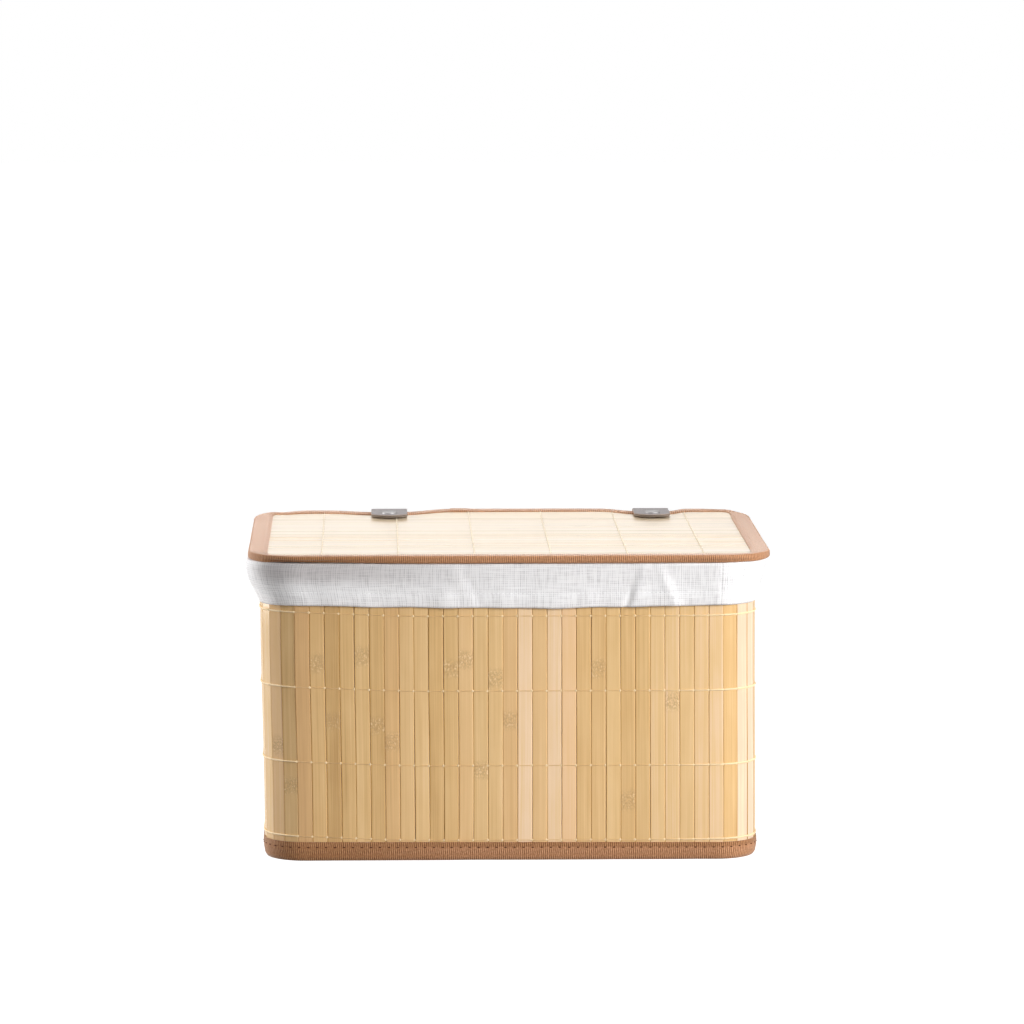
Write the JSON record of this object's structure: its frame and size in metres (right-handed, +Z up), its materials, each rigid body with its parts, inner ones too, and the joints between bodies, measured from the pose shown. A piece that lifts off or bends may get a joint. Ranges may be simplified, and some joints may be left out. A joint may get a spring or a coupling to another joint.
{
  "type": "laundry hamper with lid",
  "caption": "Rectangular hamper of upright bamboo slats tied with thread, webbing bound edges, cotton liner turned over the rim, and a slatted lid on two strap hinges.",
  "frame": {"origin": "on the floor under the centre of the hamper", "axes": "+X to the hamper's right as seen from the front, along its long side; the front faces -Y; +Z up"},
  "size_m": [0.425, 0.327, 0.2553],
  "materials": {
    "bamboo": "satin",
    "thread": "matte",
    "webbing": "ribbed matte",
    "liner_cotton": "plain weave, matte",
    "backing_cloth": "matte",
    "board": "raw fibreboard",
    "strap_leatherette": "fine grain, satin",
    "rivet_steel": "polished",
    "wire_steel": "drawn"
  },
  "bodies": {
    "basket": {"front_slats": "bamboo", "front_right_corner_slats": "bamboo", "right_slats": "bamboo", "rear_right_corner_slats": "bamboo", "rear_slats": "bamboo", "rear_left_corner_slats": "bamboo", "left_slats": "bamboo", "front_left_corner_slats": "bamboo", "wall_thread_row_1": "thread", "wall_thread_row_2": "thread", "wall_thread_row_3": "thread", "wall_thread_row_4": "thread", "base_binding": "webbing", "rim_binding": "webbing", "liner_walls": "liner_cotton", "liner_floor": "liner_cotton", "base_cloth": "backing_cloth", "base_board": "board", "left_hinge_strap": "strap_leatherette", "right_hinge_strap": "strap_leatherette", "wall_rivets": "rivet_steel", "wall_rivet_washers": "rivet_steel", "rim_wire": "wire_steel"},
    "lid": {"lid_slats": "bamboo", "lid_board": "board", "lid_lining": "backing_cloth", "lid_binding": "webbing", "lid_thread_row_1": "thread", "lid_thread_row_2": "thread", "lid_thread_row_3": "thread", "lid_thread_row_4": "thread", "lid_thread_row_5": "thread", "lid_thread_row_6": "thread", "lid_rivets": "rivet_steel", "lid_rivet_washers": "rivet_steel"}
  },
  "joints": [
    {"name": "lid_hinge", "type": "hinge", "parent": "basket", "child": "lid", "pos_m": [0, 0.1638, 0.2521], "axis": [-1, 0, 0], "range_deg": [0, 175], "deforming": ["left_hinge_strap", "right_hinge_strap"]}
  ]
}
